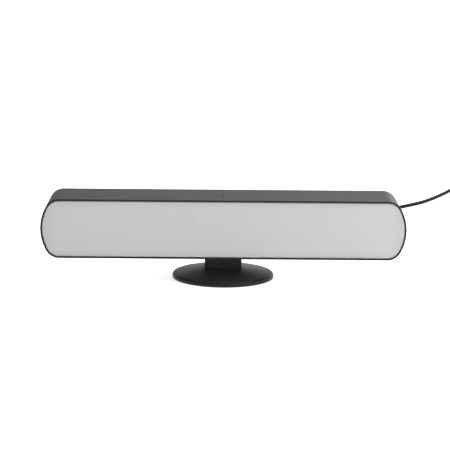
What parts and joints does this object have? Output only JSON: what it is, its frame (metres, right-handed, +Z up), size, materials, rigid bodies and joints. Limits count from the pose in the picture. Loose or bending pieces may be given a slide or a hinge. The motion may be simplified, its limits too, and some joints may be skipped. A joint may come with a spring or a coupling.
{
  "type": "table light bar",
  "caption": "Pill-shaped light bar with an opal front that tilts on a short neck over a round weighted base, with a USB lead.",
  "frame": {"origin": "on the table, under the middle of the round base", "axes": "+X along the bar to the right seen from its lit face, +Y backwards from the lit face, +Z up"},
  "size_m": [0.462, 0.5017, 0.0698],
  "materials": {
    "black_shell": "satin moulded black ABS with a fine spark-eroded grain",
    "black_inner": "plain black ABS",
    "opal": "milky satin acrylic, unlit",
    "white_inner": "white reflective plastic or solder mask",
    "led_lens": "clear encapsulant over phosphor",
    "circuit_board": "green solder mask",
    "steel": "zinc-plated steel",
    "plug_metal": "nickel-plated folded steel",
    "cast_metal": "dark cast or sintered metal",
    "rubber": "matte black elastomer",
    "cord_pvc": "satin black PVC",
    "washer": "natural PTFE"
  },
  "bodies": {
    "base": {"foot_pad": "rubber", "base_plate": "black_inner", "base_screw_1": "steel", "base_screw_2": "steel", "base_screw_3": "steel", "ballast_plate": "cast_metal", "base_cover": "black_shell", "neck": "black_shell", "neck_screw_1": "steel", "neck_screw_2": "steel", "cord_lead": "cord_pvc", "cord_coil": "cord_pvc", "cord_tie": "rubber", "cord_tail": "cord_pvc", "usb_plug_body": "cord_pvc", "usb_plug_shell": "plug_metal", "usb_plug_tongue": "white_inner"},
    "light_bar": {"bar_housing": "black_shell", "cord_clamp": "black_inner", "diffuser": "opal", "reflector_tray": "white_inner", "led_board": "white_inner", "control_board": "circuit_board", "wireless_module": "steel", "capacitor": "black_inner", "inductor": "cast_metal", "supply_connector": "white_inner", "led_connector": "white_inner", "led_harness": "cord_pvc", "supply_wire": "cord_pvc", "cord_boot": "rubber", "hinge_bracket": "steel", "hinge_pin": "steel", "hinge_nut": "steel", "friction_washer_left": "washer", "friction_washer_right": "washer", "led_1": "led_lens", "led_2": "led_lens", "led_3": "led_lens", "led_4": "led_lens", "led_5": "led_lens", "led_6": "led_lens", "led_7": "led_lens", "led_8": "led_lens", "led_9": "led_lens", "tray_screw_1": "steel", "bracket_screw_1": "steel", "tray_screw_2": "steel", "bracket_screw_2": "steel", "tray_screw_3": "steel", "bracket_screw_3": "steel", "tray_screw_4": "steel", "bracket_screw_4": "steel", "led_board_screw_1": "steel", "control_board_screw_1": "steel", "clamp_screw_1": "steel", "led_board_screw_2": "steel", "control_board_screw_2": "steel", "clamp_screw_2": "steel"}
  },
  "joints": [
    {"name": "tilt", "type": "hinge", "parent": "base", "child": "light_bar", "pos_m": [0, 0, 0.031], "axis": [1, 0, 0], "range_deg": [-12, 12], "deforming": ["cord_lead"]}
  ]
}
